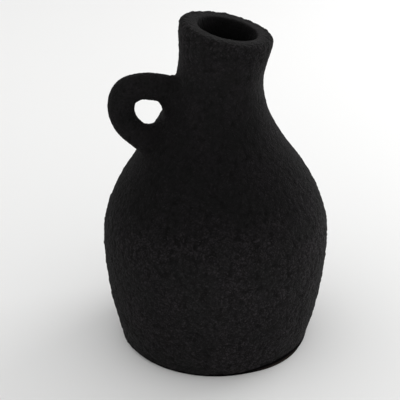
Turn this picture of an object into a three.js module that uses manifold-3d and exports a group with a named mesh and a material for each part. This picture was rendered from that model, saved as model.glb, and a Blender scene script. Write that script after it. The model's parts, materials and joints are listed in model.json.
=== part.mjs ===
import * as THREE from 'three';
import { ParametricGeometry } from 'three/addons/geometries/ParametricGeometry.js';
import { mergeVertices, toCreasedNormals } from 'three/addons/utils/BufferGeometryUtils.js';
import Module from 'manifold-3d';

// A hand-built bottle vase with one loop handle, in millimetres, +Z up. The neck leans towards +X, and
// the handle is on the other side, set a little off that line. It stands on the plane z = 0, and the
// origin lies under the middle of its widest ring.

// Outer wall: radii, and rises measured along the vase's axis. A pull is the length of a curve's handle.
const footRadius = 59.8;
const footHeight = 5;
const footFlare = 19.8;
const footPull = 22.1;
const bellyRadius = 70;
const bellyRise = 65;
const bellyPullBelow = 13.7;
const bellyPullAbove = 44.4;
const waistRadius = 25.4;
const waistRise = 111;
const waistPullBelow = 43.9;
const waistPullAbove = 4.4;
const lipRadius = 28.2;
const lipRise = 23.9;
const lipPull = 5.4;
const lipRound = 2.7;
const boreRound = 1.2;

// The wall's thickness, from the slab to the widest ring, and in the neck
const bowlWall = 8;
const neckWall = 10;

// The hand-made lean: degrees for the whole wall, then a bend that grows towards the mouth
const wallLean = 0.57;
const bendRise = 47.6;
const bendShift = 5.6;
const bendPower = 2.6;
const mouthSlant = 12.45;

// Joints between the pieces: a tongue on the lower piece stands inside the skirt of the upper one
const jointGap = 0.3;
const tongueWidth = 4;
const tongueRise = 3;
const collarSeamDrop = 31;
const rimSeamDrop = 13.2;

// The slab under the wall, with the thin skirt of the wall that is smeared down over its edge
const skirtThickness = 1;
const skirtClearance = 1;
const slabChamfer = 0.6;

// The handle's oval section and the route of its centre line. Its turn is the angle in degrees from -X
// towards -Y of the side of the vase that it stands on.
const handleTurn = 14;
const handleDepth = 16.8;
const handleWidth = 15.8;
const neckRootDrop = 16.6;
const neckRootRise = 27.8;
const neckRootPull = 21.4;
const shoulderRootDrop = 45.7;
const shoulderRootRise = 32.3;
const shoulderRootPull = 2.6;
const handleReach = 32;
const elbowDrop = 6.9;
const elbowPull = 14.4;
const rootDepth = 6;

// The clay pressed round each end of the handle, which spreads further on the side of the finger gap
const wadRise = 2.2;
const wadSpread = 2;
const wadWeb = 2.4;
const wadEdge = 0.6;

// Mesh counts, and the least step in height between two rings
const leastStep = 1;
const turnSides = 48;
const footSteps = 6;
const shoulderSteps = 16;
const lipSteps = 4;
const roundSteps = 4;
const handleSides = 20;
const handleSteps = 28;
const wadSides = 28;
const wadSteps = 4;

const bellyHeight = footHeight + bellyRise;
const waistHeight = bellyHeight + waistRise;
const lipHeight = waistHeight + lipRise;
const bendStart = bellyHeight + bendRise;
const collarSeam = waistHeight - collarSeamDrop;
const rimSeam = lipHeight - rimSeamDrop;
const slabRadius = footRadius - skirtThickness - jointGap;
const { degToRad, clamp, lerp } = THREE.MathUtils;

const wasm = await Module();
wasm.setup();

// The wall's outline as radius and height, from the top of the upright foot to the start of the lip's round
function makeOutline() {
	const flare = degToRad(footFlare);
	const foot = new THREE.Vector2(footRadius, footHeight);
	const belly = new THREE.Vector2(bellyRadius, bellyHeight);
	const waist = new THREE.Vector2(waistRadius, waistHeight);
	const lip = new THREE.Vector2(lipRadius, lipHeight - lipRound);
	const curves = [
		new THREE.CubicBezierCurve(
			foot,
			foot.clone().add(new THREE.Vector2(Math.sin(flare), Math.cos(flare)).multiplyScalar(footPull)),
			belly.clone().setY(bellyHeight - bellyPullBelow),
			belly,
		),
		new THREE.CubicBezierCurve(
			belly,
			belly.clone().setY(bellyHeight + bellyPullAbove),
			waist.clone().setY(waistHeight - waistPullBelow),
			waist,
		),
		new THREE.CubicBezierCurve(
			waist,
			waist.clone().setY(waistHeight + waistPullAbove),
			lip.clone().setY(lip.y - lipPull),
			lip,
		),
	];
	const steps = [footSteps, shoulderSteps, lipSteps];
	return [foot, ...curves.flatMap((curve, index) => curve.getPoints(steps[index]).slice(1))];
}

const outline = makeOutline();

function radiusAt(height) {
	const above = outline.findIndex((point) => point.y >= height);
	if (above === 0) return footRadius;
	if (above < 0) return lipRadius;
	const [low, high] = [outline[above - 1], outline[above]];
	return lerp(low.x, high.x, (height - low.y) / (high.y - low.y));
}

// How much longer a distance square to the wall is when it is measured along the radius
function slantFactor(height) {
	const slope = (radiusAt(height + leastStep) - radiusAt(height - leastStep)) / (2 * leastStep);
	return Math.hypot(1, slope);
}

function boreAt(height) {
	const share = clamp((height - bellyHeight) / waistRise, 0, 1);
	return radiusAt(height) - lerp(bowlWall, neckWall, share) * slantFactor(height);
}

function bendShare(height) {
	return Math.max(0, (height - bendStart) / (lipHeight - bendStart));
}

function centreAt(height) {
	const lean = Math.tan(degToRad(wallLean)) * (height - bellyHeight);
	return lean + bendShift * bendShare(height) ** bendPower;
}

function slantAt(height) {
	return degToRad(mouthSlant) * bendShare(height);
}

// Moves a point of the straight vase to its place in the leaning one
function bend(x, y, height) {
	const slant = slantAt(height);
	return new THREE.Vector3(centreAt(height) + x * Math.cos(slant), y, height - x * Math.sin(slant));
}

// How far a point lies outside the outer wall, square to it. The height of its ring is found by rounds.
function distanceOut(point) {
	const rounds = 6;
	let height = point.z;
	for (let round = 0; round < rounds; round += 1) {
		height = point.z + (point.x - centreAt(height)) * Math.tan(slantAt(height));
	}
	const across = (point.x - centreAt(height)) / Math.cos(slantAt(height));
	return (Math.hypot(across, point.y) - radiusAt(height)) / slantFactor(height);
}

// The point on a line, within reach of its start, that lies a given distance outside the wall
function pointOverWall(start, direction, lift, reach) {
	const halvings = 30;
	let inside = -reach;
	let outside = reach;
	const place = (along) => start.clone().addScaledVector(direction, along);
	for (let halving = 0; halving < halvings; halving += 1) {
		const middle = (inside + outside) / 2;
		if (distanceOut(place(middle)) < lift) inside = middle;
		else outside = middle;
	}
	return place((inside + outside) / 2);
}

// Leaves only the merged positions and the triangles that still have three corners
function cleanMesh(geometry) {
	const bare = geometry.clone();
	bare.deleteAttribute('normal');
	bare.deleteAttribute('uv');
	const merged = mergeVertices(bare);
	const kept = [];
	for (let start = 0; start < merged.index.count; start += 3) {
		const [a, b, c] = [0, 1, 2].map((corner) => merged.index.getX(start + corner));
		if (a !== b && b !== c && c !== a) kept.push(a, b, c);
	}
	merged.setIndex(kept);
	return merged;
}

function toSolid(geometry) {
	const mesh = cleanMesh(geometry);
	return new wasm.Manifold(new wasm.Mesh({
		numProp: 3,
		vertProperties: new Float32Array(mesh.attributes.position.array),
		triVerts: new Uint32Array(mesh.index.array),
	}));
}

function toGeometry(solid) {
	const mesh = solid.getMesh();
	const geometry = new THREE.BufferGeometry();
	geometry.setAttribute('position', new THREE.BufferAttribute(mesh.vertProperties, 3));
	geometry.setIndex(new THREE.BufferAttribute(mesh.triVerts, 1));
	return geometry;
}

// Turns a profile of radii and heights round the axis, and bends it to the vase's lean
function turned(profile) {
	const lathe = new THREE.LatheGeometry(profile, turnSides);
	lathe.rotateX(Math.PI / 2);
	const positions = lathe.attributes.position;
	for (let index = 0; index < positions.count; index += 1) {
		const { x, y, z } = bend(positions.getX(index), positions.getY(index), positions.getZ(index));
		positions.setXYZ(index, x, y, z);
	}
	return cleanMesh(lathe);
}

// Heights of the outline's points between two levels, leaving out any that crowd the ends
function levels(low, high) {
	const inner = outline.map((point) => point.y);
	return [low, ...inner.filter((y) => y > low + leastStep && y < high - leastStep), high];
}

function outerRun(low, high) {
	return levels(low, high).map((height) => new THREE.Vector2(radiusAt(height), height));
}

function innerRun(high, low) {
	return levels(low, high).reverse().map((height) => new THREE.Vector2(boreAt(height), height));
}

// In the upright wall a seat meets face to face, and above the bend it keeps the joint's gap
function seatGap(seam) {
	return seam > bendStart ? jointGap : 0;
}

// The inner half of the wall stands up as a tongue, and the run of the bore starts at its top
function tongue(seam) {
	const side = boreAt(seam) + tongueWidth;
	return [new THREE.Vector2(side, seam), new THREE.Vector2(side, seam + tongueRise)];
}

// The skirt that goes down outside the tongue of the piece below
function skirt(seam) {
	const side = boreAt(seam) + tongueWidth + jointGap;
	return [
		new THREE.Vector2(side, seam + tongueRise + jointGap),
		new THREE.Vector2(side, seam + seatGap(seam)),
	];
}

function closed(profile) {
	return [...profile, profile[0].clone()];
}

function makeSlab() {
	return turned([
		new THREE.Vector2(0, 0),
		new THREE.Vector2(slabRadius - slabChamfer, 0),
		new THREE.Vector2(slabRadius, slabChamfer),
		new THREE.Vector2(slabRadius, footHeight),
		new THREE.Vector2(0, footHeight),
	]);
}

function makeBowl() {
	const skirtSide = slabRadius + jointGap;
	return turned(closed([
		new THREE.Vector2(footRadius, skirtClearance),
		...outerRun(footHeight, bellyHeight),
		...tongue(bellyHeight),
		...innerRun(bellyHeight + tongueRise, footHeight),
		new THREE.Vector2(skirtSide, footHeight),
		new THREE.Vector2(skirtSide, skirtClearance),
	]));
}

// A length of wall from one tongue joint to the next
function makeWall(low, high) {
	return turned(closed([
		...outerRun(low + seatGap(low), high),
		...tongue(high),
		...innerRun(high + tongueRise, low + tongueRise + jointGap),
		...skirt(low),
	]));
}

function quarterRound(centre, radius, from) {
	return Array.from({ length: roundSteps + 1 }, (_, step) => {
		const angle = from + (step / roundSteps) * (Math.PI / 2);
		return new THREE.Vector2(
			centre.x + radius * Math.cos(angle),
			centre.y + radius * Math.sin(angle),
		);
	});
}

function makeRim() {
	const bore = boreAt(lipHeight);
	const outerCentre = new THREE.Vector2(lipRadius - lipRound, lipHeight - lipRound);
	const boreCentre = new THREE.Vector2(bore + boreRound, lipHeight - boreRound);
	return turned(closed([
		...outerRun(rimSeam + seatGap(rimSeam), lipHeight - lipRound).slice(0, -1),
		...quarterRound(outerCentre, lipRound, 0),
		...quarterRound(boreCentre, boreRound, Math.PI / 2),
		...innerRun(lipHeight - boreRound, rimSeam + tongueRise + jointGap).slice(1),
		...skirt(rimSeam),
	]));
}

// The way out from the axis to the handle, and the way across it
const outward = new THREE.Vector3(-Math.cos(degToRad(handleTurn)), -Math.sin(degToRad(handleTurn)), 0);
const sideways = new THREE.Vector3(outward.y, -outward.x, 0);

// Where an end of the handle meets the wall, the way it leaves the wall, and the way to the top of its
// section. The finger gap lies above it where gapSide is 1, and below it where gapSide is -1.
function makeRoot(height, rise, gapSide) {
	const angle = degToRad(rise);
	const radius = radiusAt(height);
	const direction = outward.clone().multiplyScalar(Math.cos(angle)).setZ(Math.sin(angle));
	return {
		point: bend(outward.x * radius, outward.y * radius, height),
		direction,
		up: sideways.clone().cross(direction),
		gapSide,
	};
}

const neckRoot = makeRoot(waistHeight - neckRootDrop, neckRootRise, -1);
const shoulderRoot = makeRoot(waistHeight - shoulderRootDrop, shoulderRootRise, 1);

// From inside the neck's wall, out over the elbow, and back into the shoulder's wall
function makeHandlePath() {
	const along = (root, distance) => root.point.clone().addScaledVector(root.direction, distance);
	const elbow = neckRoot.point.clone().addScaledVector(outward, handleReach);
	elbow.z -= elbowDrop;
	const up = new THREE.Vector3(0, 0, elbowPull);
	const path = new THREE.CurvePath();
	path.add(new THREE.CubicBezierCurve3(
		along(neckRoot, -rootDepth),
		along(neckRoot, neckRootPull),
		elbow.clone().add(up),
		elbow,
	));
	path.add(new THREE.CubicBezierCurve3(
		elbow,
		elbow.clone().sub(up),
		along(shoulderRoot, shoulderRootPull),
		along(shoulderRoot, -rootDepth),
	));
	return path;
}

// The handle's oval swept along its route, thicker all round by a margin
function sweepHandle(margin) {
	const oval = new THREE.Shape();
	oval.absellipse(0, 0, handleWidth / 2 + margin, handleDepth / 2 + margin, 0, 2 * Math.PI);
	return toSolid(new THREE.ExtrudeGeometry(oval, {
		extrudePath: makeHandlePath(),
		steps: handleSteps,
		curveSegments: handleSides / 2,
	}));
}

// The space that the wall fills near the handle, solid to the axis and thicker by a margin
function wallSpace(margin) {
	const run = levels(bellyHeight, rimSeam).map((height) => (
		new THREE.Vector2(radiusAt(height) + margin * slantFactor(height), height)
	));
	return toSolid(turned([
		new THREE.Vector2(0, bellyHeight),
		...run,
		new THREE.Vector2(0, rimSeam),
	]));
}

function makeHandle() {
	return toGeometry(sweepHandle(0).subtract(wallSpace(jointGap)));
}

// A wad's section. Each pair is a distance out from the handle's side and a height over the wall.
function wadSection(spread, rise) {
	const curve = Array.from({ length: wadSteps + 1 }, (_, step) => {
		const angle = (step / wadSteps) * (Math.PI / 2);
		return [
			wadEdge + spread * (1 - Math.sin(angle)),
			jointGap + wadEdge + rise * (1 - Math.cos(angle)),
		];
	});
	return [
		[-wadEdge, jointGap],
		[wadEdge + spread, jointGap],
		...curve,
		[-wadEdge, jointGap + wadEdge + rise],
		[-wadEdge, jointGap],
	];
}

// A hollow-curved ring of clay in the corner between the handle and the wall
function makeWad(root) {
	const sectionSteps = wadSteps + 4;
	const place = (u, v, target) => {
		const turn = u * 2 * Math.PI;
		const web = wadWeb * Math.max(0, root.gapSide * Math.cos(turn)) ** 2;
		const [out, lift] = wadSection(wadSpread + web, wadRise + web)[Math.round(v * sectionSteps)];
		const start = root.point.clone()
			.addScaledVector(root.up, (handleDepth / 2 + out) * Math.cos(turn))
			.addScaledVector(sideways, (handleWidth / 2 + out) * Math.sin(turn));
		target.copy(pointOverWall(start, root.direction, lift, handleDepth));
	};
	const ring = toSolid(new ParametricGeometry(place, wadSides, sectionSteps));
	return toGeometry(ring.subtract(sweepHandle(jointGap)));
}

const smoothAngle = 35;
const vase = new THREE.Group();
vase.name = 'vase';

function addPiece(name, geometry, color, roughness) {
	const material = new THREE.MeshStandardMaterial({ color, roughness, metalness: 0 });
	const piece = new THREE.Mesh(toCreasedNormals(geometry, degToRad(smoothAngle)), material);
	piece.name = name;
	vase.add(piece);
}

// The clay under the slab is bare, and everything above it has a black coat with sand in it
const bareClay = 0x8a5a3e;
const blackCoat = 0x1d1c1d;
const clayRoughness = 0.9;
const coatRoughness = 0.95;

addPiece('base_slab', makeSlab(), bareClay, clayRoughness);
addPiece('lower_bowl', makeBowl(), blackCoat, coatRoughness);
addPiece('shoulder_dome', makeWall(bellyHeight, collarSeam), blackCoat, coatRoughness);
addPiece('neck_collar', makeWall(collarSeam, rimSeam), blackCoat, coatRoughness);
addPiece('rim_coil', makeRim(), blackCoat, coatRoughness);
addPiece('handle_loop', makeHandle(), blackCoat, coatRoughness);
addPiece('upper_root_wad', makeWad(neckRoot), blackCoat, coatRoughness);
addPiece('lower_root_wad', makeWad(shoulderRoot), blackCoat, coatRoughness);

export default vase;
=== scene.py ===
import json
import math

import bpy
import numpy as np
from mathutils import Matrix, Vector
from mathutils.geometry import interpolate_bezier

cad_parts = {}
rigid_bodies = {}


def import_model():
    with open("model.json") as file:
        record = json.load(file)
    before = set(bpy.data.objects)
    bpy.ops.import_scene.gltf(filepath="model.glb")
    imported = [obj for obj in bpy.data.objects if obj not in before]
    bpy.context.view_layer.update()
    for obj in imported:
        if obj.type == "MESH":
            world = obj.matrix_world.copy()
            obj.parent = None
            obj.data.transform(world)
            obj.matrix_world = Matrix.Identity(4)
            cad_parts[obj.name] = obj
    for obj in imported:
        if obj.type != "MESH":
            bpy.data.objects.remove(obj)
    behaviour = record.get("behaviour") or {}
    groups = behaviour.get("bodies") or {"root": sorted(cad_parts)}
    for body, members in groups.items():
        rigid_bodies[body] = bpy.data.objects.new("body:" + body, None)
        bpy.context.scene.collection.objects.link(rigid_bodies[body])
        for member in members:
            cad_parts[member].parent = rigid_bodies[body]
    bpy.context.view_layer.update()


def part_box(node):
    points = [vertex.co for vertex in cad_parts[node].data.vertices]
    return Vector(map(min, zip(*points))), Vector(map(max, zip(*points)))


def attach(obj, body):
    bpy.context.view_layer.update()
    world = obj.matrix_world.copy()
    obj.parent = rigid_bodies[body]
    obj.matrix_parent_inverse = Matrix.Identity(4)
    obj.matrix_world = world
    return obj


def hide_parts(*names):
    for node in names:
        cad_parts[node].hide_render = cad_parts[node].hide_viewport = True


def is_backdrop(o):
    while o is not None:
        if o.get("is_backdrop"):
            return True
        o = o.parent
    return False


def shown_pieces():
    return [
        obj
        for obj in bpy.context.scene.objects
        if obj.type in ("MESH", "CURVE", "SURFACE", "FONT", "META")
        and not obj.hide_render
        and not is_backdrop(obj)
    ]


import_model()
mm = 0.001  # the dictionaries hold millimetres and degrees, and Blender gets metres

# camera and light

camera = {
    "lens": 115.69,
    "sensor": 36,
    "clipStart": 10,
    "distance": 800,
    "elevation": 26.156,
    "aim": (-0.7, 0, 100),
    "shiftX": -0.0361,
    "shiftY": -0.0285,
}

studio = {
    "floorSize": 9000,
    "floorColor": (0.80, 0.80, 0.795),
    "floorRoughness": 0.9,
    "worldColor": (1, 1, 1),
    "worldStrength": 0.93,
    "exposure": 0.0,
    # place, size and power in watts of each softbox; all are turned to the middle of the vase
    "softboxes": {
        "left": ((-650, 500, 850), (600, 900), 0.4),
        "right": ((780, 600, 420), (700, 1000), 5.9),
    },
}


def lookFrom(place, target):
    return (target - place).to_track_quat("-Z", "Y").to_euler()


def addCamera():
    tilt = math.radians(camera["elevation"])
    aim = Vector(camera["aim"]) * mm
    place = aim + Vector((0, -math.cos(tilt), math.sin(tilt))) * camera["distance"] * mm
    bpy.ops.object.camera_add(location=place, rotation=lookFrom(place, aim))
    view = bpy.context.object
    view.name = "photoView"
    view.data.lens = camera["lens"]
    view.data.sensor_width = camera["sensor"]
    view.data.shift_x = camera["shiftX"]
    view.data.shift_y = camera["shiftY"]
    view.data.clip_start = camera["clipStart"] * mm
    bpy.context.scene.camera = view


def addLights():
    world = bpy.context.scene.world or bpy.data.worlds.new("paleRoom")
    bpy.context.scene.world = world
    world.use_nodes = True
    background = world.node_tree.nodes["Background"]
    background.inputs["Color"].default_value = (*studio["worldColor"], 1)
    background.inputs["Strength"].default_value = studio["worldStrength"]
    for name, (place, size, power) in studio["softboxes"].items():
        place = Vector(place) * mm
        turn = lookFrom(place, Vector(camera["aim"]) * mm)
        bpy.ops.object.light_add(type="AREA", location=place, rotation=turn)
        lamp = bpy.context.object
        lamp.name = name + "Softbox"
        lamp.data.shape = "RECTANGLE"
        lamp.data.size, lamp.data.size_y = (side * mm for side in size)
        lamp.data.energy = power


def addFloor():
    bpy.ops.mesh.primitive_plane_add(size=studio["floorSize"] * mm)
    floor = bpy.context.object
    floor.name = "floor"
    paper = bpy.data.materials.new("palePaper")
    paper.use_nodes = True
    shader = paper.node_tree.nodes["Principled BSDF"]
    shader.inputs["Base Color"].default_value = (*studio["floorColor"], 1)
    shader.inputs["Roughness"].default_value = studio["floorRoughness"]
    floor.data.materials.append(paper)
    floor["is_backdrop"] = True


bpy.context.scene.view_settings.view_transform = "Standard"
bpy.context.scene.view_settings.exposure = studio["exposure"]
addCamera()
addLights()
addFloor()
print("camera, lights and floor are in place")

# shared ways of working on a mesh


def deselectAll():
    if bpy.context.object and bpy.context.object.mode != "OBJECT":
        bpy.ops.object.mode_set(mode="OBJECT")
    bpy.ops.object.select_all(action="DESELECT")


def pick(piece):
    deselectAll()
    piece.select_set(True)
    bpy.context.view_layer.objects.active = piece


def editAll(kind):
    bpy.ops.object.mode_set(mode="EDIT")
    bpy.ops.mesh.select_mode(type=kind)
    bpy.ops.mesh.select_all(action="SELECT")


def editPicked(piece, kind, wanted):
    # opens edit mode with only the wanted edges or faces selected
    pick(piece)
    bpy.ops.object.mode_set(mode="EDIT")
    bpy.ops.mesh.select_mode(type=kind)
    bpy.ops.mesh.select_all(action="DESELECT")
    bpy.ops.object.mode_set(mode="OBJECT")
    for part in piece.data.edges if kind == "EDGE" else piece.data.polygons:
        part.select = bool(wanted(part))
    bpy.ops.object.mode_set(mode="EDIT")


def finishEdit():
    bpy.ops.object.mode_set(mode="OBJECT")


def finishOutwards():
    bpy.ops.mesh.select_all(action="SELECT")
    bpy.ops.mesh.normals_make_consistent(inside=False)
    finishEdit()


def extrude(move):
    bpy.ops.mesh.extrude_region_move(TRANSFORM_OT_translate={"value": move})


def applyTransforms():
    bpy.ops.object.transform_apply(location=True, rotation=True, scale=True)


def applyModifier(piece, kind, name, **settings):
    pick(piece)
    modifier = piece.modifiers.new(name, kind)
    for setting, value in settings.items():
        setattr(modifier, setting, value)
    bpy.ops.object.modifier_apply(modifier=modifier.name)


def subdivideSmooth(piece, levels):
    applyModifier(piece, "SUBSURF", "smooth", levels=levels, render_levels=levels)


def cageSwell(sides):
    # how much larger a ring of the cage is than the smooth ring that it turns into
    return 3 / (2 + math.cos(2 * math.pi / sides))


def openEdges(piece):
    edgeOf = np.empty(len(piece.data.loops), int)
    piece.data.loops.foreach_get("edge_index", edgeOf)
    return np.bincount(edgeOf, minlength=len(piece.data.edges)) == 1


def readVectors(items, name):
    values = np.empty(len(items) * 3)
    items.foreach_get(name, values)
    return values.reshape(-1, 3)


def places(piece):
    return readVectors(piece.data.vertices, "co")


def facings(piece):
    return readVectors(piece.data.vertex_normals, "vector")


def keepValues(piece, name, values):
    kept = piece.data.attributes.new(name, "FLOAT", "POINT")
    kept.data.foreach_set("value", np.asarray(values, np.float32))


def readTable(table, at):
    return float(np.interp(at, *zip(*table)))


def quarterAngles(steps):
    return [math.radians(90) * step / steps for step in range(steps + 1)]


# the wall's outline: radii, and rises along the axis, as the potter's profile gives them

outline = {
    "footRadius": 59.8,
    "footHeight": 5,
    "footFlare": 19.8,
    "footPull": 22.1,
    "bellyRise": 65,
    "bellyPullBelow": 13.7,
    "bellyPullAbove": 44.4,
    "waistRadius": 25.4,
    "waistRise": 111,
    "waistPullBelow": 43.9,
    "waistPullAbove": 4.4,
    "lipRadius": 28.2,
    "lipRise": 23.9,
    "lipPull": 5.4,
    "lipRound": 2.7,
    "boreRound": 1.2,
    "bowlWall": 8,
    "neckWall": 10,
    "curveSteps": 80,
    "measureSteps": 200,
}

lean = {
    "wallLean": 0.57,
    "bendRise": 47.6,
    "bendShift": 5.6,
    "bendPower": 2.6,
    "mouthSlant": 12.45,
    "rounds": 6,  # each round brings a height along the axis nearer to the true one
}

seams = {
    "collarDrop": 31,
    "rimDrop": 13.2,
    "reach": 5,  # a cut edge that is nearer than this to a seam's height belongs to that seam
}

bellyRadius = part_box("lower_bowl")[1].x / mm
bellyHeight = outline["footHeight"] + outline["bellyRise"]
waistHeight = bellyHeight + outline["waistRise"]
lipHeight = waistHeight + outline["lipRise"]
bendStart = bellyHeight + lean["bendRise"]
collarSeam = waistHeight - seams["collarDrop"]
rimSeam = lipHeight - seams["rimDrop"]


def outlinePoints():
    flare = math.radians(outline["footFlare"])
    foot = Vector((outline["footRadius"], outline["footHeight"]))
    belly = Vector((bellyRadius, bellyHeight))
    waist = Vector((outline["waistRadius"], waistHeight))
    lip = Vector((outline["lipRadius"], lipHeight - outline["lipRound"]))
    up = Vector((0, 1))
    out = Vector((math.sin(flare), math.cos(flare)))
    curves = [
        (foot, foot + out * outline["footPull"], belly - up * outline["bellyPullBelow"], belly),
        (belly, belly + up * outline["bellyPullAbove"],
         waist - up * outline["waistPullBelow"], waist),
        (waist, waist + up * outline["waistPullAbove"], lip - up * outline["lipPull"], lip),
    ]
    points = [foot]
    for curve in curves:
        points += interpolate_bezier(*curve, outline["curveSteps"])[1:]
    return np.array([tuple(point) for point in points])


profile = outlinePoints()


def radiusAt(height):
    return float(np.interp(height, profile[:, 1], profile[:, 0]))


def slantFactor(height):
    slope = (radiusAt(height + 1) - radiusAt(height - 1)) / 2
    return math.hypot(1, slope)


def boreAt(height):
    share = min(max((height - bellyHeight) / outline["waistRise"], 0), 1)
    thickness = outline["bowlWall"] + share * (outline["neckWall"] - outline["bowlWall"])
    return radiusAt(height) - thickness * slantFactor(height)


def bendShare(height):
    return max(0, (height - bendStart) / (lipHeight - bendStart))


def centreAt(height):
    straight = math.tan(math.radians(lean["wallLean"])) * (height - bellyHeight)
    return straight + lean["bendShift"] * bendShare(height) ** lean["bendPower"]


def slantAt(height):
    return math.radians(lean["mouthSlant"]) * bendShare(height)


def axisHeight(point):
    # the height along the vase's axis of the ring that a point lies on
    height = point.z / mm
    for _ in range(lean["rounds"]):
        height = point.z / mm + (point.x / mm - centreAt(height)) * math.tan(slantAt(height))
    return height


def distanceOut(point, height):
    # how far a point lies from the axis, within the slanting plane of its ring
    across = (point.x / mm - centreAt(height)) / math.cos(slantAt(height))
    return math.hypot(across, point.y / mm)


def isOuter(point, height):
    return distanceOut(point, height) > (radiusAt(height) + boreAt(height)) / 2


def shareRound(point, middle, width):
    # 1 in one direction from the axis, falling to 0 at a width in degrees to either side
    turn = math.degrees(math.atan2(point.y, point.x)) - middle
    away = abs((turn + 180) % 360 - 180) / width
    return math.cos(math.radians(90) * min(away, 1))


def evenHeights(low, high, step):
    # heights between two levels, evenly spread along the curve of the wall
    heights = np.linspace(low, high, outline["measureSteps"])
    radii = [radiusAt(height) for height in heights]
    run = np.concatenate([[0], np.cumsum(np.hypot(np.diff(heights), np.diff(radii)))])
    count = max(1, round(run[-1] / step))
    return [float(np.interp(run[-1] * part / count, run, heights))
            for part in range(1, count + 1)]


# the thrown wall, made as one skin of rings so that no joint shows on it

wall = {
    "sides": 80,
    "coatThickness": 0.25,
    "outerStep": 5.5,
    "innerStep": 11,
    "coatEdge": 2.2,
    "skirtThickness": 1.0,
    # the coat's lower edge is higher at one place: direction, half of the width, rise, and the
    # share of the way down the skirt from which it is raised
    "gapTurn": -38,
    "gapWidth": 36,
    "gapRise": 1.6,
    "gapFrom": 0.1,
    "footCorner": 0.9,
    "lipSteps": 5,
    "boreSteps": 3,
    "boreShown": 26,  # the bore gets fine faces this far down from the lip
    "ringReach": 0.05,  # an edge whose ends are nearer than this to a ring is part of it
}


def wallRings():
    # radius and height of every ring, from the skirt's inner corner over the outside to the bore
    footHeight = outline["footHeight"]
    lipRound, boreRound = outline["lipRound"], outline["boreRound"]
    coatEdge, corner, thickness = wall["coatEdge"], wall["footCorner"], wall["coatThickness"]
    skirtInner = outline["footRadius"] - wall["skirtThickness"]
    skirtOuter = outline["footRadius"] + thickness
    rings = [
        (skirtInner, footHeight),
        (skirtInner, coatEdge),
        (skirtOuter, coatEdge),
        (skirtOuter, coatEdge + corner),
        (skirtOuter, footHeight),
    ]
    levels = (footHeight + corner, bellyHeight, collarSeam, rimSeam)
    heights = [levels[0]]
    for low, high in zip(levels, levels[1:]):
        heights += evenHeights(low, high, wall["outerStep"])
    lipStart = lipHeight - lipRound
    heights += evenHeights(rimSeam, lipStart, wall["outerStep"] / 2)
    rings += [(radiusAt(height) + thickness * slantFactor(height), height) for height in heights]
    for angle in quarterAngles(wall["lipSteps"])[1:]:
        radius = outline["lipRadius"] - lipRound + (lipRound + thickness) * math.cos(angle)
        rings.append((radius, lipStart + lipRound * math.sin(angle)))
    swell = cageSwell(wall["sides"])
    rings = [(radius * swell, height) for radius, height in rings]
    bore = boreAt(lipHeight)
    rings.append(((rings[-1][0] + bore + boreRound) / 2, lipHeight))
    for angle in quarterAngles(wall["boreSteps"]):
        radius = bore + boreRound * (1 - math.sin(angle))
        rings.append((radius, lipHeight - boreRound * (1 - math.cos(angle))))
    levels = (lipHeight - boreRound, rimSeam, collarSeam, bellyHeight, footHeight)
    for high, low in zip(levels, levels[1:]):
        downwards = evenHeights(low, high, wall["innerStep"])[-2::-1] + [low]
        rings += [(boreAt(height), height) for height in downwards]
    return rings


def ringCentre(height):
    return Vector((centreAt(height), 0, height)) * mm


def buildWallCage():
    rings = wallRings()
    radius, height = rings[0]
    bpy.ops.mesh.primitive_circle_add(vertices=wall["sides"], radius=radius * mm,
                                      location=ringCentre(height))
    cage = bpy.context.object
    cage.name = "wallCage"
    applyTransforms()
    editAll("VERT")
    for newRadius, newHeight in rings[1:]:
        centre = ringCentre(newHeight)
        extrude(centre - ringCentre(height))
        share = newRadius / radius
        bpy.ops.transform.resize(value=(share, share, share), center_override=centre)
        turn = slantAt(newHeight) - slantAt(height)
        if turn:
            bpy.ops.transform.rotate(value=-turn, orient_axis="Y", center_override=centre)
        radius, height = newRadius, newHeight
    finishEdit()
    # the seat on the slab closes the skin from the last ring back to the first
    atEnds = openEdges(cage)
    editPicked(cage, "EDGE", lambda edge: atEnds[edge.index])
    bpy.ops.mesh.bridge_edge_loops()
    finishOutwards()
    return cage


wallCage = buildWallCage()
print("the wall's cage has", len(wallCage.data.vertices), "vertices")

# the hand-made surface: lumps and pebbles in the coat, pushed out of the mesh itself

relief = {
    # each layer's texture, the size and height of its lumps, and the texture's value that stays
    # level; a ramp leaves only the tops of the clouds, and a stretch makes lumps taller than wide
    "handWobble": {"kind": "CLOUDS", "size": 48, "depth": 1, "height": 0.9, "middle": 0.5},
    "thumbMarks": {"kind": "CLOUDS", "size": 11, "depth": 1, "height": 0.5, "middle": 0.5},
    "crumbs": {"kind": "CLOUDS", "size": 3.2, "depth": 0, "height": 0.3, "middle": 0.0,
               "ramp": (0.64, 0.82)},
    "pebbles": {"kind": "VORONOI", "size": 2.9, "height": -0.58, "middle": 0.3, "stretch": 1.35},
    # the handle has been smoothed by hand, so its pebbles are smaller
    "finePebbles": {"kind": "VORONOI", "size": 1.7, "height": -0.32, "middle": 0.3,
                    "stretch": 1.2},
    "sand": {"kind": "CLOUDS", "size": 1.0, "depth": 2, "height": 0.42, "middle": 0.5},
}

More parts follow.
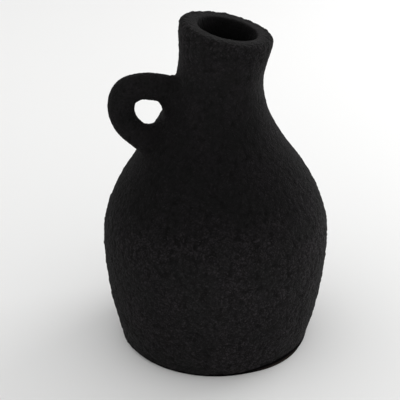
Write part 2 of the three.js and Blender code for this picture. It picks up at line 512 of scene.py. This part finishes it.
coat = {
    # heights along the axis, and how coarse the coat is there
    "coarseness": ((0, 1), (85, 1), (120, 0.62), (150, 0.5), (190, 0.6), (200, 1)),
    "boreCoarseness": 0.3,
    "handleCoarseness": 0.35,
    # heights along the axis, and how pale: painted shade darkens the shoulder and neck, which get
    # less light from above, and the low belly is paler, partly dust and partly painted light from
    # the floor; the lip is worn pale
    "paintedLightAndWear": ((0, 1.22), (16, 1.12), (30, 1.08), (60, 1.27), (84, 1.12), (107, 0.68),
                 (130, 0.6), (147, 0.67), (165, 0.81), (181, 0.94), (196, 0.98), (202, 1.08),
                 (204.9, 0.98)),
    # depths below the lip inside the bore, and how pale: painted shade darkens the bore with depth
    "borePaintedShade": ((0, 1.1), (0.8, 0.75), (2.2, 0.5), (8, 0.3), (13, 0.1), (18, 0.03)),
    "handleToneAndPaintedShade": 0.82,
    # painted highlights, paler bands where the neck's edges catch the light: direction, half of
    # the width, height, reach up and down, and how much
    "paintedHighlights": ((-12, 40, 176, 9, 0.9), (180, 34, 184, 16, 0.3)),
    # painted shade makes the coat a little darker low on the side that the handle is on: how much,
    # and what share of that at each height
    "handleSideShade": 0.3,
    "handleSideFade": ((95, 1), (140, 0)),
    # painted shade makes it darker round the finger gap too: how much, and how far; and on the
    # clay that faces it
    "gapPaintedShade": 0.3,
    "gapPaintedShadeReach": 24,
    "gapShade": 0.5,
    "rootBlend": 7,  # the handle's tone runs into the wall's over this distance
}


def makeStretcher(name, stretch):
    # the texture is read through an empty that is taller than it is wide, so its lumps are too
    deselectAll()
    bpy.ops.object.empty_add(location=(0, 0, 0))
    stretcher = bpy.context.object
    stretcher.name = name
    stretcher.scale = (1, 1, stretch)
    bpy.context.view_layer.update()
    return stretcher


def roughen(piece, layers, group):
    for name in layers:
        layer = relief[name]
        texture = bpy.data.textures.new(name, layer["kind"])
        texture.noise_scale = layer["size"] * mm
        if "ramp" in layer:
            texture.use_color_ramp = True
            low, high = texture.color_ramp.elements
            low.position, high.position = layer["ramp"]
            low.color, high.color = (0, 0, 0, 1), (1, 1, 1, 1)
        if layer["kind"] == "CLOUDS":
            texture.noise_depth = layer["depth"]
        else:
            texture.distance_metric = "DISTANCE_SQUARED"
        settings = {"texture": texture, "strength": layer["height"] * mm,
                    "mid_level": layer["middle"], "vertex_group": group,
                    "texture_coords": "LOCAL"}
        stretcher = None
        if "stretch" in layer:
            stretcher = makeStretcher(name + "Stretcher", layer["stretch"])
            settings["texture_coords"] = "OBJECT"
            settings["texture_coords_object"] = stretcher
        applyModifier(piece, "DISPLACE", name, **settings)
        if stretcher:
            bpy.data.objects.remove(stretcher)
        bpy.data.textures.remove(texture)


def roughenCoat(piece, finest, group=""):
    roughen(piece, ("handWobble", "thumbMarks"), group)
    before, facing = places(piece), facings(piece)
    roughen(piece, finest, group)
    # how far each point stands out is kept, so that the material can paint shade into the pits
    height = ((places(piece) - before) * facing).sum(1) / mm
    keepValues(piece, "relief", height)


sectionNames = ("lowerBowl", "shoulderDome", "neckCollar", "rimCoil")
sectionNodes = ("lower_bowl", "shoulder_dome", "neck_collar", "rim_coil")
sectionTops = (bellyHeight, collarSeam, rimSeam)


def markSections(cage):
    # each section has a slot for its outside and one for its bore, which the subdivision keeps
    for _ in range(2 * len(sectionNames)):
        cage.data.materials.append(None)
    for polygon in cage.data.polygons:
        height = axisHeight(polygon.center)
        section = sum(height > top for top in sectionTops)
        fine = isOuter(polygon.center, height) or height > lipHeight - wall["boreShown"]
        polygon.material_index = section if fine else section + len(sectionNames)


def isOnRing(cage, edge, centre, radius):
    near = wall["ringReach"] * mm
    ends = [cage.data.vertices[index].co for index in edge.vertices]
    return all(
        abs(end.z - centre.z) < near
        and abs(math.hypot(end.x - centre.x, end.y) - radius * mm) < near
        for end in ends
    )


def creaseCorners(cage):
    # the hidden seat corners stay square, and the coat's lower edge is only a little soft
    swell = cageSwell(wall["sides"])
    skirtInner = (outline["footRadius"] - wall["skirtThickness"]) * swell
    skirtOuter = (outline["footRadius"] + wall["coatThickness"]) * swell
    for radius, height, crease in (
        (skirtInner, outline["footHeight"], 1),
        (skirtInner, wall["coatEdge"], 0.8),
        (skirtOuter, wall["coatEdge"], 0.5),
        (boreAt(outline["footHeight"]), outline["footHeight"], 1),
    ):
        centre = ringCentre(height)
        editPicked(cage, "EDGE", lambda edge: isOnRing(cage, edge, centre, radius))
        bpy.ops.transform.edge_crease(value=crease)
        finishEdit()


def addCoatGroup(piece):
    group = piece.vertex_groups.new(name="coat")
    for vertex in piece.data.vertices:
        height = axisHeight(vertex.co)
        share = coat["boreCoarseness"]
        if isOuter(vertex.co, height):
            share = readTable(coat["coarseness"], height)
        group.add([vertex.index], share, "REPLACE")


def raiseCoatEdge(cage):
    skirtHeight = outline["footHeight"] - wall["coatEdge"]
    for vertex in cage.data.vertices:
        low = (outline["footHeight"] - vertex.co.z / mm) / skirtHeight
        if low > wall["gapFrom"]:
            share = shareRound(vertex.co, wall["gapTurn"], wall["gapWidth"])
            vertex.co.z += wall["gapRise"] * low * share * mm


creaseCorners(wallCage)
raiseCoatEdge(wallCage)
markSections(wallCage)
addCoatGroup(wallCage)
subdivideSmooth(wallCage, 2)
print("the smooth wall has", len(wallCage.data.polygons), "faces")

# the handle: a rolled coil of clay, oval, from inside the neck's wall into the shoulder's wall

handle = {
    "sides": 20,
    "steps": 11,  # rings on each half of the loop
    "turn": 14,  # off the plane in which the neck leans, towards the camera
    "depth": 16.8,
    "width": 15.8,
    # shares of the way along the coil, and its depth there
    "depths": ((0, 17.2), (0.12, 16.7), (0.22, 16.0), (0.33, 17.3), (0.45, 16.5), (0.6, 15.8),
               (0.75, 15.5), (0.92, 17.2), (1, 17.4)),
    "neckDrop": 16.6,
    "neckRise": 28.6,
    "neckPull": 21.4,
    "shoulderDrop": 45.7,
    "shoulderRise": 32.1,
    "shoulderPull": 2.5,
    "reach": 32.5,
    "elbowDrop": 7.2,
    "elbowPull": 14.1,
    "rootDepth": 6,
    "gapOut": 10,  # from the line between the roots to the middle of the finger gap
}

handleTurn = math.radians(handle["turn"])
outward = Vector((-math.cos(handleTurn), -math.sin(handleTurn), 0))


def handleRoot(drop, rise):
    # where the coil's middle line meets the wall, and the way it leaves it
    height = waistHeight - drop
    slant = slantAt(height)
    x, y = outward.x * radiusAt(height), outward.y * radiusAt(height)
    point = Vector((centreAt(height) + x * math.cos(slant), y, height - x * math.sin(slant)))
    angle = math.radians(rise)
    return point, outward * math.cos(angle) + Vector((0, 0, math.sin(angle)))


def handleRoute():
    neck, neckWay = handleRoot(handle["neckDrop"], handle["neckRise"])
    shoulder, shoulderWay = handleRoot(handle["shoulderDrop"], handle["shoulderRise"])
    elbow = neck + outward * handle["reach"] - Vector((0, 0, handle["elbowDrop"]))
    up = Vector((0, 0, handle["elbowPull"]))
    steps = handle["steps"] + 1
    route = interpolate_bezier(neck - neckWay * handle["rootDepth"],
                               neck + neckWay * handle["neckPull"], elbow + up, elbow, steps)
    route += interpolate_bezier(elbow, elbow - up, shoulder + shoulderWay * handle["shoulderPull"],
                                shoulder - shoulderWay * handle["rootDepth"], steps)[1:]
    # the coil is made lying in the XZ plane, and turned to its place when it is finished
    pivot = Vector((centreAt(waistHeight - handle["neckDrop"]), 0, 0))
    flat = [Vector((-(point - pivot).dot(outward), 0, point.z)) * mm for point in route]
    return flat, pivot * mm


def buildHandle():
    route, pivot = handleRoute()
    last = len(route) - 1
    ways = [route[min(index + 1, last)] - route[max(index - 1, 0)] for index in range(last + 1)]
    turns = np.unwrap([math.atan2(way.x, way.z) for way in ways])
    depths = [readTable(handle["depths"], index / last) for index in range(last + 1)]
    deselectAll()
    bpy.ops.mesh.primitive_circle_add(vertices=handle["sides"], radius=mm / 2, fill_type="NGON",
                                      location=route[0], rotation=(0, turns[0], 0))
    coil = bpy.context.object
    coil.name = "handleLoop"
    swell = cageSwell(handle["sides"])
    roundness = handle["width"] / handle["depth"]
    coil.scale = (depths[0] * swell, depths[0] * swell * roundness, 1)
    applyTransforms()
    editAll("FACE")
    for index in range(1, len(route)):
        extrude(route[index] - route[index - 1])
        turn = turns[index] - turns[index - 1]
        bpy.ops.transform.rotate(value=-turn, orient_axis="Y", center_override=route[index])
        share = depths[index] / depths[index - 1]
        bpy.ops.transform.resize(value=(share, share, share), center_override=route[index])
    finishOutwards()
    coil.rotation_euler = (0, 0, handleTurn)
    coil.location = pivot
    applyTransforms()
    subdivideSmooth(coil, 2)
    pick(coil)
    editAll("FACE")
    bpy.ops.mesh.subdivide(number_cuts=1)
    finishEdit()
    return coil


handleLoop = buildHandle()
print("the handle has", len(handleLoop.data.polygons), "faces")


def gapMiddle():
    # halfway between the two roots, and a little further out
    neck, _ = handleRoot(handle["neckDrop"], handle["neckRise"])
    shoulder, _ = handleRoot(handle["shoulderDrop"], handle["shoulderRise"])
    return ((neck + shoulder) / 2 + outward * handle["gapOut"]) * mm


fingerGap = gapMiddle()

# the wads of clay pressed into the corner between the handle and the wall, one at each root

wad = {
    "sides": 32,
    "spread": 3.4,
    "rise": 3.4,
    # at the neck and at the shoulder: how much further the clay spreads on the side of the
    # finger gap, and how far round towards the back that is
    "webs": ((8.5, -5), (4.4, 35)),
    "arcSteps": 3,
    # how far the thin edges run on under the handle's and the wall's skin, how much further
    # they run along it, and how far they are clear of it where they begin
    "feather": 0.7,
    "featherRun": 1.6,
    "clear": 0.05,
    "thickness": 1.6,
}


def wadSection(web):
    # pairs of distance out from the handle's side and height over the wall
    spread, rise, clear = wad["spread"] + web, wad["rise"] + web, wad["clear"]
    feather, thickness = wad["feather"], wad["thickness"]
    section = [(spread + feather * wad["featherRun"], -feather), (spread, clear)]
    for angle in quarterAngles(wad["arcSteps"] + 1)[1:-1]:
        section.append((spread * (1 - math.sin(angle)), rise * (1 - math.cos(angle))))
    section += [(clear, rise), (-feather, rise + feather * wad["featherRun"])]
    section += [(-thickness - feather, rise), (-thickness, -thickness)]
    return section


def buildWad(name, drop, rise, web, turn, gapSide):
    point, way = handleRoot(drop, rise)
    section, wide = wadSection(0), wadSection(web)
    sides = wad["sides"]
    swell = cageSwell(sides)
    deselectAll()
    bpy.ops.mesh.primitive_circle_add(vertices=sides, radius=mm, location=(0, 0, 0))
    ring = bpy.context.object
    ring.name = name
    ring.location = (point + way * handle["depth"]) * mm
    ring.rotation_euler = (0, math.radians(rise - 90), handleTurn)
    editAll("EDGE")
    size = (1, 1)
    for index, (out, _) in enumerate(section):
        if index > 0:
            extrude((0, 0, 0))
        newSize = [(handle[side] / 2 + out) * swell for side in ("depth", "width")]
        bpy.ops.transform.resize(value=(newSize[0] / size[0], newSize[1] / size[1], 1),
                                 orient_type="LOCAL", center_override=ring.location)
        size = newSize
    finishEdit()
    webTurn = math.radians(turn)

    def webShare(vertex):
        # 1 on the finger gap's side, and 0 on the half that is turned away from it
        along = gapSide * vertex.co.x * math.cos(webTurn) + vertex.co.y * math.sin(webTurn)
        return max(0, along / math.hypot(vertex.co.x, vertex.co.y))

    def ringVertices(index):
        return ring.data.vertices[index * sides:(index + 1) * sides]

    shares = [webShare(vertex) for vertex in ring.data.vertices]
    for index, (out, _) in enumerate(section):
        further = (wide[index][0] - out) * mm
        for vertex in ringVertices(index):
            vertex.co += vertex.co.normalized() * further * shares[vertex.index]
    # every ring is pressed onto the smooth wall, then lifted to its own height along the handle
    applyModifier(ring, "SHRINKWRAP", "press", target=wallCage, wrap_method="PROJECT",
                  use_project_z=True, use_negative_direction=True, use_positive_direction=False)
    for index, (_, lift) in enumerate(section):
        higher = wide[index][1] - lift
        for vertex in ringVertices(index):
            vertex.co.z += (lift + higher * shares[vertex.index]) * mm
    pick(ring)
    applyTransforms()
    atEnds = openEdges(ring)
    editPicked(ring, "EDGE", lambda edge: atEnds[edge.index])
    bpy.ops.mesh.bridge_edge_loops()
    finishOutwards()
    subdivideSmooth(ring, 2)
    return ring


upperRootWad = buildWad("upperRootWad", handle["neckDrop"], handle["neckRise"],
                        *wad["webs"][0], -1)
lowerRootWad = buildWad("lowerRootWad", handle["shoulderDrop"], handle["shoulderRise"],
                        *wad["webs"][1], 1)
print("the wads have", len(upperRootWad.data.polygons), "faces each")

# how pale and how coarse the coat is at each point, for the material; the tone carries painted
# light and shade as well as wear


def wallPaintedLightAndWear(point, height):
    # painted light and shade over the tone by height: darker near the finger gap and low on the
    # handle's side, and paler bands for the painted highlights
    away = (point - fingerGap).length / mm / coat["gapPaintedShadeReach"]
    side = max(0, -point.x / mm / radiusAt(height)) * readTable(coat["handleSideFade"], height)
    shade = (1 - coat["gapPaintedShade"] * math.exp(-away ** 2)) * (1 - coat["handleSideShade"] * side)
    # painted highlights: the neck is paler in bands at its edges
    for middle, width, level, reach, gain in coat["paintedHighlights"]:
        fall = math.exp(-((height - level) / reach) ** 2)
        shade *= 1 + gain * shareRound(point, middle, width) * fall
    return readTable(coat["paintedLightAndWear"], height) * shade


def keepWallTones(piece):
    tones, shares = [], []
    for vertex in piece.data.vertices:
        height = axisHeight(vertex.co)
        if isOuter(vertex.co, height):
            tones.append(wallPaintedLightAndWear(vertex.co, height))
            shares.append(readTable(coat["coarseness"], height))
        else:
            # painted shade: the bore gets darker the deeper it lies below the lip
            tones.append(readTable(coat["borePaintedShade"], lipHeight - height))
            shares.append(coat["boreCoarseness"])
    keepValues(piece, "paintedLightAndWear", tones)
    keepValues(piece, "coarseness", shares)


def handleToneAndPaintedShade(piece, gapShade):
    # painted shade: darker where the clay faces the finger gap, and as pale as the wall at the
    # roots
    out = places(piece) - np.array(fingerGap)
    out /= np.linalg.norm(out, axis=1)[:, None]
    inward = np.clip(-(out * facings(piece)).sum(1), 0, 1)
    tones = coat["handleToneAndPaintedShade"] * (1 - gapShade * inward)
    for index, vertex in enumerate(piece.data.vertices):
        height = axisHeight(vertex.co)
        clear = distanceOut(vertex.co, height) - radiusAt(height)
        share = min(max(clear / coat["rootBlend"], 0), 1)
        tones[index] = share * tones[index] + (1 - share) * wallPaintedLightAndWear(vertex.co, height)
    return tones


editPicked(wallCage, "FACE", lambda face: face.material_index < len(sectionNames))
bpy.ops.mesh.subdivide(number_cuts=1)
finishEdit()
print("the wall has", len(wallCage.data.polygons), "faces")
keepWallTones(wallCage)
roughenCoat(wallCage, ("crumbs", "pebbles", "sand"), "coat")
for clay, gapShade in ((handleLoop, coat["gapShade"]), (upperRootWad, coat["gapShade"]),
                       (lowerRootWad, 0)):
    keepValues(clay, "paintedLightAndWear", handleToneAndPaintedShade(clay, gapShade))
    keepValues(clay, "coarseness", np.full(len(clay.data.vertices), coat["handleCoarseness"]))
    roughenCoat(clay, ("finePebbles", "sand"))
print("the coat is roughened")

# the slab that the vase stands on: a trimmed disc of bare clay

slab = {
    "sides": 96,
    "radius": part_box("base_slab")[1].x / mm,
    "thickness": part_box("base_slab")[1].z / mm,
    "edgeBevel": 0.25,
    "rimHeight": 1.2,
    "rimSlope": 1.15,  # share of the rim's height at which the slab is at its narrowest
    "neckIn": 1.6,  # the slab is narrower above its rim
    "flare": 1.3,
    # at one place the rim stands out further under a thinner coat: direction, half of the
    # width, how far, how steeply that falls off, and up to what share of the rim's height
    "thinTurn": -47,
    "thinWidth": 19,
    "thinFlare": 1.0,
    "thinFall": 0.6,
    "thinTop": 0.9,
    "coatedFrom": 55.5,  # the coat has run over the edge as far as this radius, and is coloured as a painted shadow there
    "coatedBlend": 0.4,
    "trimRings": 11,
    "trimStep": 4.6,
    "trimDepth": 0.22,
    "topShare": 0.99,  # what lies above this share of the thickness is the top
}


def thinShare(point):
    return shareRound(point, slab["thinTurn"], slab["thinWidth"]) ** slab["thinFall"]


def slabRings():
    # radius and height of every ring, from the middle of the underside over the rim to the top
    rimHeight, bevel = slab["rimHeight"], slab["edgeBevel"]
    rim = slab["radius"] + slab["flare"]
    neck = slab["radius"] - slab["neckIn"]
    # the trimming tool has left rings on the underside that step up into the clay and down again
    rings = [(rim - bevel, 0)]
    for ring in range(slab["trimRings"]):
        radius = rings[0][0] - slab["trimStep"] / 2
        level = slab["trimDepth"] if ring % 2 == 0 else 0
        rings = [(radius - slab["trimStep"] / 2, level), (radius, level)] + rings
    rings += [(rim, bevel), (rim, rimHeight)]
    rings += [(neck, rimHeight * slab["rimSlope"]), (neck, slab["thickness"])]
    return rings


def buildSlab():
    rings = slabRings()
    radius, height = rings[0]
    deselectAll()
    bpy.ops.mesh.primitive_circle_add(vertices=slab["sides"], radius=radius * mm,
                                      fill_type="NGON", location=(0, 0, height * mm))
    disc = bpy.context.object
    disc.name = "baseSlab"
    applyTransforms()
    editAll("FACE")
    for newRadius, newHeight in rings[1:]:
        extrude((0, 0, (newHeight - height) * mm))
        share = newRadius / radius
        bpy.ops.transform.resize(value=(share, share, 1), center_override=(0, 0, newHeight * mm))
        radius, height = newRadius, newHeight
    finishOutwards()
    spots = disc.data.vertices
    for spot in spots:
        out = Vector((spot.co.x, spot.co.y, 0))
        if out.length > slab["radius"] * mm:
            spot.co += out.normalized() * slab["thinFlare"] * thinShare(spot.co) * mm
    top = slab["thickness"] * slab["topShare"] * mm
    editPicked(disc, "EDGE", lambda edge: all(spots[index].co.z > top for index in edge.vertices))
    bpy.ops.transform.edge_crease(value=1)
    finishEdit()
    subdivideSmooth(disc, 2)
    spread = np.hypot(*places(disc)[:, :2].T) / mm - slab["coatedFrom"]
    keepValues(disc, "coatAndPaintedShadow", np.clip(spread / slab["coatedBlend"], 0, 1))
    thinTop = slab["rimHeight"] * slab["thinTop"] * mm
    keepValues(disc, "thinness", [thinShare(vertex.co) * (vertex.co.z < thinTop)
                                  for vertex in disc.data.vertices])
    return disc


baseSlab = buildSlab()
print("the slab has", len(baseSlab.data.polygons), "faces")

# the finishes: a shared group gives the sandy grain, and each material has its own colours


def addNode(tree, kind, place, **settings):
    node = tree.nodes.new(kind)
    node.location = place
    for name, value in settings.items():
        setattr(node, name, value)
    return node


def feed(tree, socket, value):
    # a value is another node's output, a colour or a number
    if isinstance(value, bpy.types.NodeSocket):
        tree.links.new(value, socket)
    elif isinstance(value, tuple):
        socket.default_value = (*value, 1)
    else:
        socket.default_value = value


def addMath(tree, place, operation, *values):
    node = addNode(tree, "ShaderNodeMath", place, operation=operation)
    for socket, value in zip(node.inputs, values):
        feed(tree, socket, value)
    return node.outputs[0]


def addRamp(tree, place, levels, value):
    # stretches a value between two levels to 0 and 1
    ramp = addNode(tree, "ShaderNodeMapRange", place, interpolation_type="SMOOTHSTEP")
    feed(tree, ramp.inputs["From Min"], levels[0])
    feed(tree, ramp.inputs["From Max"], levels[1])
    feed(tree, ramp.inputs["Value"], value)
    return ramp.outputs[0]


def mixColors(tree, place, first, second, factor, blend="MIX"):
    mix = addNode(tree, "ShaderNodeMix", place, data_type="RGBA", blend_type=blend)
    feed(tree, mix.inputs[0], factor)
    feed(tree, mix.inputs[6], first)
    feed(tree, mix.inputs[7], second)
    return mix.outputs[2]


sandGrain = {
    "fine": {"Detail": 3, "Roughness": 0.6},
    "veins": {"W": 7, "Detail": 2, "Distortion": 0.5},
    "clouds": {"Detail": 3},
    # distances from the middle of the veins' noise: a crack's edge and its depth, and where
    # the crumbs beside it begin and are whole
    "veinMiddle": 0.5,
    "cracks": (0.08, 0.0),
    "crumbs": (0.05, 0.2),
    # a few grains in a hundred are pale: their random values, and how far out from the middle
    "rare": (0.93, 0.96),
    "core": (0.45, 0.2),
}


def makeSandGroup():
    group = bpy.data.node_groups.new("sandGrain", "ShaderNodeTree")
    sizes = ("Grain Size", "Crumb Size", "Cloud Size")
    group.interface.new_socket(name="Vector", in_out="INPUT", socket_type="NodeSocketVector")
    for name in sizes:
        group.interface.new_socket(name=name, in_out="INPUT", socket_type="NodeSocketFloat")
    inside = addNode(group, "NodeGroupInput", (-900, 0))
    grainScale, crumbScale, cloudScale = [
        addMath(group, (-700, 200 - 200 * row), "DIVIDE", 1, inside.outputs[size])
        for row, size in enumerate(sizes)
    ]

    def addTexture(kind, place, scale, values, **settings):
        texture = addNode(group, kind, place, **settings)
        for name, value in values.items():
            feed(group, texture.inputs[name], value)
        feed(group, texture.inputs["Vector"], inside.outputs["Vector"])
        feed(group, texture.inputs["Scale"], scale)
        return texture.outputs

    grains = addTexture("ShaderNodeTexVoronoi", (-450, 300), grainScale, {}, feature="F1")
    fine = addTexture("ShaderNodeTexNoise", (-450, 50), grainScale, sandGrain["fine"])
    veins = addTexture("ShaderNodeTexNoise", (-450, -100), crumbScale, sandGrain["veins"],
                       noise_dimensions="4D")
    clouds = addTexture("ShaderNodeTexNoise", (-450, -400), cloudScale, sandGrain["clouds"])
    domes = addMath(group, (-200, 300), "SUBTRACT", 1, grains["Distance"])
    # thin crooked cracks run between the crumbs, where the veins' noise passes its middle
    past = addMath(group, (-250, -100), "SUBTRACT", veins["Fac"], sandGrain["veinMiddle"])
    away = addMath(group, (-100, -100), "ABSOLUTE", past)
    cracks = addRamp(group, (80, -200), sandGrain["cracks"], away)
    crumbs = addRamp(group, (80, -50), sandGrain["crumbs"], away)
    bumps = addMath(group, (50, 200), "ADD", domes, fine["Fac"])
    height = addMath(group, (280, 150), "ADD", bumps, crumbs)
    chance = addNode(group, "ShaderNodeSeparateColor", (-200, 500))
    feed(group, chance.inputs[0], grains["Color"])
    rare = addRamp(group, (0, 500), sandGrain["rare"], chance.outputs[0])
    core = addRamp(group, (0, 350), sandGrain["core"], grains["Distance"])
    flecks = addMath(group, (250, 450), "MULTIPLY", rare, core)
    results = {"Grain": fine["Fac"], "Crumbs": crumbs, "Cracks": cracks, "Clouds": clouds["Fac"],
               "Flecks": flecks, "Height": height}
    for name in results:
        group.interface.new_socket(name=name, in_out="OUTPUT", socket_type="NodeSocketFloat")
    outside = addNode(group, "NodeGroupOutput", (500, 0))
    for name, output in results.items():
        feed(group, outside.inputs[name], output)
    return group


def addSand(tree, sizes):
    where = addNode(tree, "ShaderNodeTexCoord", (-1400, 0))
    sand = addNode(tree, "ShaderNodeGroup", (-1150, 0), node_tree=sandGroup)
    for name, size in sizes.items():
        feed(tree, sand.inputs[name], size * mm)
    feed(tree, sand.inputs["Vector"], where.outputs["Object"])
    return sand.outputs


def readAttribute(tree, place, name):
    return addNode(tree, "ShaderNodeAttribute", place, attribute_name=name).outputs


def startMaterial(name, look):
    material = bpy.data.materials.new(name)
    material.use_nodes = True
    shader = material.node_tree.nodes["Principled BSDF"]
    for socket, value in look["shader"].items():
        shader.inputs[socket].default_value = value
    return material, material.node_tree, shader


def finishMaterial(tree, shader, look, color, height):
    bump = addNode(tree, "ShaderNodeBump", (-300, -350))
    feed(tree, bump.inputs["Distance"], look["bumpDepth"] * mm)
    feed(tree, bump.inputs["Strength"], look["bumpStrength"])
    feed(tree, bump.inputs["Height"], height)
    feed(tree, shader.inputs["Normal"], bump.outputs["Normal"])
    feed(tree, shader.inputs["Base Color"], color)


sandCoatLook = {
    # pit: the colour of the painted shade in the pits, and of the real dark cracks
    "pit": (0.0046, 0.0044, 0.0044),
    "coat": (0.0104, 0.0102, 0.0103),
    "dust": (0.0148, 0.0133, 0.0144),
    "crumb": (0.0290, 0.0259, 0.0280),
    "fleck": (0.036, 0.034, 0.035),
    "smoothShare": 0.65,
    "sizes": {"Grain Size": 0.9, "Crumb Size": 1.9, "Cloud Size": 24},
    # how far a point stands out where the painted shade of the pits ends and where the crests
    # begin
    "crests": (-0.34, 0.2),
    "clouds": (0.36, 0.66),
    "grain": (0.4, 0.65),
    "fleckedFrom": (1.2, 1.4),  # levels of the tone that carries painted light and wear
    "shader": {"Roughness": 0.92, "Specular IOR Level": 0.058, "Sheen Weight": 0.027,
               "Sheen Roughness": 0.3},
    "bumpDepth": 0.35,
    "bumpStrength": 0.7,
}


def makeSandCoat():
    look = sandCoatLook
    material, tree, shader = startMaterial("sandCoat", look)
    sand = addSand(tree, look["sizes"])
    standing = readAttribute(tree, (-1150, 350), "relief")["Fac"]
    coarse = readAttribute(tree, (-1150, -400), "coarseness")["Fac"]
    paintedLightAndWear = readAttribute(tree, (-400, 500), "paintedLightAndWear")
    crest = addRamp(tree, (-900, 350), look["crests"], standing)
    clouds = addRamp(tree, (-900, 100), look["clouds"], sand["Clouds"])
    grain = addRamp(tree, (-900, -150), look["grain"], sand["Grain"])
    tint = mixColors(tree, (-650, 100), look["coat"], look["dust"], clouds)
    # painted shade: the pits take the dark pit colour, by how far each point stands out
    paintedPitShade = mixColors(tree, (-400, 250), look["pit"], tint, crest)
    # crumbs and cracks show more in the dusty places than in the dark ones, and more in the
    # coarse places than in the smooth ones
    patches = addNode(tree, "ShaderNodeMapRange", (-650, -150))
    feed(tree, patches.inputs["To Min"], look["smoothShare"])
    feed(tree, patches.inputs["Value"], clouds)
    rough = addMath(tree, (-450, -300), "MULTIPLY", patches.outputs[0], coarse)
    tops = addMath(tree, (-450, -100), "MULTIPLY", sand["Crumbs"], grain)
    crumbs = addMath(tree, (-300, -100), "MULTIPLY", tops, rough)
    cracks = addMath(tree, (-300, -300), "MULTIPLY", sand["Cracks"], rough)
    crumbly = mixColors(tree, (-150, 100), paintedPitShade, look["crumb"], crumbs)
    cracked = mixColors(tree, (0, 100), crumbly, look["pit"], cracks)
    palest = addRamp(tree, (-200, 500), look["fleckedFrom"], paintedLightAndWear["Fac"])
    flecks = addMath(tree, (0, 400), "MULTIPLY", sand["Flecks"], palest)
    flecked = mixColors(tree, (150, 200), cracked, look["fleck"], flecks)
    # the colour is multiplied by the tone that carries painted light and shade as well as wear
    toned = mixColors(tree, (320, 300), flecked, paintedLightAndWear["Color"], 1, "MULTIPLY")
    finishMaterial(tree, shader, look, toned, sand["Height"])
    return material


bareClayLook = {
    "dark": (0.150, 0.070, 0.042),
    "clay": (0.335, 0.160, 0.095),
    "pale": (0.440, 0.250, 0.165),
    # painted shadow: the coat on the slab's edge, under the wall's overhang, is far darker than
    # the wall's coat
    "coat": (0.0022, 0.0020, 0.0020),
    "thinCoat": (0.0205, 0.0155, 0.0135),
    "sizes": {"Grain Size": 0.7, "Crumb Size": 2.2, "Cloud Size": 18},
    "clouds": (0.35, 0.65),
    "grain": (0.42, 0.55),
    "shader": {"Roughness": 0.88, "Specular IOR Level": 0.05},
    "bumpDepth": 0.15,
    "bumpStrength": 0.6,
}


def makeBareClay():
    look = bareClayLook
    material, tree, shader = startMaterial("bareClay", look)
    sand = addSand(tree, look["sizes"])
    coatAndPaintedShadow = readAttribute(tree, (-350, 400), "coatAndPaintedShadow")["Fac"]
    thinness = readAttribute(tree, (-600, 500), "thinness")["Fac"]
    clouds = addRamp(tree, (-900, 100), look["clouds"], sand["Clouds"])
    grain = addRamp(tree, (-900, -150), look["grain"], sand["Grain"])
    body = mixColors(tree, (-600, 100), look["clay"], look["pale"], clouds)
    speckled = mixColors(tree, (-350, 100), look["dark"], body, grain)
    # painted shadow: the slab's edge takes the near-black coat colour, with the thin coat at one
    # place
    edge = mixColors(tree, (-350, 600), look["coat"], look["thinCoat"], thinness)
    edged = mixColors(tree, (-150, 250), speckled, edge, coatAndPaintedShadow)
    finishMaterial(tree, shader, look, edged, sand["Height"])
    return material


sandGroup = makeSandGroup()
sandCoat = makeSandCoat()
bareClay = makeBareClay()
print("the finishes are mixed")

# the finished pieces

smoothAngle = 60  # edges that are sharper than this stay sharp


def cutSection(index):
    # one length of wall is parted off, and its cut ends are closed with the joint's faces
    slots = (index, index + len(sectionNames))
    present = set(bpy.data.objects)
    editPicked(wallCage, "FACE", lambda face: face.material_index in slots)
    bpy.ops.mesh.separate(type="SELECTED")
    finishEdit()
    section = (set(bpy.data.objects) - present).pop()
    section.name = sectionNames[index]
    spots = section.data.vertices
    for seam in sectionTops[max(0, index - 1):index + 1]:
        isCut = openEdges(section)
        editPicked(section, "EDGE", lambda edge: isCut[edge.index] and abs(
            axisHeight(spots[edge.vertices[0]].co) - seam) < seams["reach"])
        bpy.ops.mesh.bridge_edge_loops()
        finishEdit()
    return section


def finishPiece(piece, node, material):
    piece.data.materials.clear()
    piece.data.materials.append(material)
    for polygon in piece.data.polygons:
        polygon.material_index = 0
    pick(piece)
    bpy.ops.object.shade_smooth_by_angle(angle=math.radians(smoothAngle))
    piece.data.name = piece.name
    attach(piece, "root")
    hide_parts(node)


for index, node in enumerate(sectionNodes):
    finishPiece(cutSection(index), node, sandCoat)
bpy.data.objects.remove(wallCage)
finishPiece(handleLoop, "handle_loop", sandCoat)
finishPiece(upperRootWad, "upper_root_wad", sandCoat)
finishPiece(lowerRootWad, "lower_root_wad", sandCoat)
finishPiece(baseSlab, "base_slab", bareClay)
deselectAll()
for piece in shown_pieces():
    print(piece.name, len(piece.data.polygons), "faces", int(openEdges(piece).sum()), "open edges")
